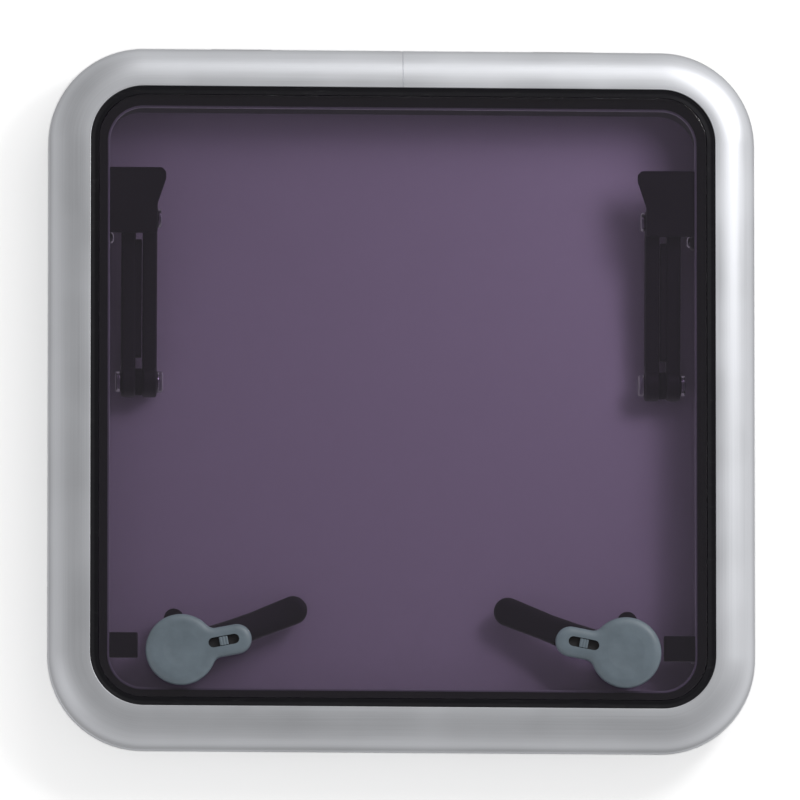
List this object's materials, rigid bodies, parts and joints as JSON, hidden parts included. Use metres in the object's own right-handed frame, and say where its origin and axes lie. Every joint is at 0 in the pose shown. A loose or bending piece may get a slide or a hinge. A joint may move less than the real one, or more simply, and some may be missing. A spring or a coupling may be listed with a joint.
{
  "type": "deck hatch",
  "caption": "Square low-profile deck hatch: smoked lens in a rounded aluminium lid frame on a flanged base, with corner handles, hidden hinges and folding stays.",
  "frame": {"origin": "centre of the hatch in plan, level with the lower edge of the base frame's spigot", "axes": "+Z out of the deck towards the lid's outer side, +Y towards the hinged rear edge, +X to the right seen from outside with the hinges away from the viewer"},
  "size_m": [0.5, 0.5, 0.06],
  "materials": {
    "anodised_aluminium": "satin",
    "smoked_acrylic": "gloss",
    "black_rubber": "matte",
    "grey_plastic": "satin",
    "black_plastic": "satin",
    "stainless_steel": "satin"
  },
  "bodies": {
    "base": {"base_frame": "anodised_aluminium", "hinge_base_leaf_left": "anodised_aluminium", "hinge_base_leaf_right": "anodised_aluminium", "hinge_pin_left": "stainless_steel", "hinge_pin_right": "stainless_steel", "keeper_left": "black_plastic", "keeper_right": "black_plastic", "keeper_screw_left": "stainless_steel", "keeper_screw_right": "stainless_steel", "stay_base_bracket_left": "black_plastic", "stay_base_bracket_right": "black_plastic", "stay_base_screw_left_1": "stainless_steel", "stay_base_screw_left_2": "stainless_steel", "stay_base_screw_right_1": "stainless_steel", "stay_base_screw_right_2": "stainless_steel", "stay_base_pin_left": "stainless_steel", "stay_base_pin_right": "stainless_steel"},
    "lid": {"lid_frame": "anodised_aluminium", "frame_splice": "anodised_aluminium", "lens": "smoked_acrylic", "lens_sealant": "black_rubber", "lid_seal": "black_rubber", "hinge_lid_arm_left": "anodised_aluminium", "hinge_lid_arm_right": "anodised_aluminium", "stay_lid_bracket_left": "black_plastic", "stay_lid_bracket_right": "black_plastic", "stay_lid_screw_left_1": "stainless_steel", "stay_lid_screw_left_2": "stainless_steel", "stay_lid_screw_right_1": "stainless_steel", "stay_lid_screw_right_2": "stainless_steel", "stay_lid_pin_left": "stainless_steel", "stay_lid_pin_right": "stainless_steel", "lens_bush_left": "black_plastic", "lens_bush_right": "black_plastic", "bush_nut_left": "black_plastic", "bush_nut_right": "black_plastic"},
    "handle_left": {"outside_handle_left": "grey_plastic", "spindle_left": "stainless_steel", "inside_lever_left": "black_plastic", "latch_dog_left": "black_plastic", "handle_screw_left": "stainless_steel"},
    "handle_right": {"outside_handle_right": "grey_plastic", "spindle_right": "stainless_steel", "inside_lever_right": "black_plastic", "latch_dog_right": "black_plastic", "handle_screw_right": "stainless_steel"},
    "lock_left": {"lock_slide_left": "grey_plastic"},
    "lock_right": {"lock_slide_right": "grey_plastic"},
    "stay_lower_left": {"stay_lower_arm_left": "black_plastic", "stay_elbow_bolt_left": "stainless_steel", "stay_friction_disc_left": "black_rubber", "stay_elbow_nut_left": "stainless_steel"},
    "stay_lower_right": {"stay_lower_arm_right": "black_plastic", "stay_elbow_bolt_right": "stainless_steel", "stay_friction_disc_right": "black_rubber", "stay_elbow_nut_right": "stainless_steel"},
    "stay_upper_left": {"stay_upper_arm_left": "black_plastic"},
    "stay_upper_right": {"stay_upper_arm_right": "black_plastic"}
  },
  "joints": [
    {"name": "lid_hinge", "type": "hinge", "parent": "base", "child": "lid", "pos_m": [0, 0.246, 0.031], "axis": [-1, 0, 0], "range_deg": [0, 90]},
    {"name": "handle_left_turn", "type": "hinge", "parent": "lid", "child": "handle_left", "pos_m": [-0.157, -0.182, 0.05], "axis": [0, 0, 1], "range_deg": [0, 70]},
    {"name": "handle_right_turn", "type": "hinge", "parent": "lid", "child": "handle_right", "pos_m": [0.157, -0.182, 0.05], "axis": [0, 0, -1], "range_deg": [0, 70]},
    {"name": "lock_left_slide", "type": "slide", "parent": "handle_left", "child": "lock_left", "axis": [0.9816, 0.1908, 0], "range_m": [-0.0055, 0.0055]},
    {"name": "lock_right_slide", "type": "slide", "parent": "handle_right", "child": "lock_right", "axis": [-0.9816, 0.1908, 0], "range_m": [-0.0055, 0.0055]},
    {"name": "stay_lower_left_fold", "type": "hinge", "parent": "base", "child": "stay_lower_left", "pos_m": [-0.193, 0.13036, 0.0219], "axis": [-1, 0, 0], "range_deg": [0, 90]},
    {"name": "stay_lower_right_fold", "type": "hinge", "parent": "base", "child": "stay_lower_right", "pos_m": [0.193, 0.13036, 0.0219], "axis": [-1, 0, 0], "range_deg": [0, 90]},
    {"name": "stay_upper_left_fold", "type": "hinge", "parent": "lid", "child": "stay_upper_left", "pos_m": [-0.1779, 0.13036, 0.0219], "axis": [-1, 0, 0], "range_deg": [-90, 0]},
    {"name": "stay_upper_right_fold", "type": "hinge", "parent": "lid", "child": "stay_upper_right", "pos_m": [0.1779, 0.13036, 0.0219], "axis": [-1, 0, 0], "range_deg": [-90, 0]}
  ],
  "couplings": [
    {"joint": "stay_lower_left_fold", "follows": "lid_hinge", "ratio": 1},
    {"joint": "stay_lower_right_fold", "follows": "lid_hinge", "ratio": 1},
    {"joint": "stay_upper_left_fold", "follows": "lid_hinge", "ratio": -1},
    {"joint": "stay_upper_right_fold", "follows": "lid_hinge", "ratio": -1}
  ]
}
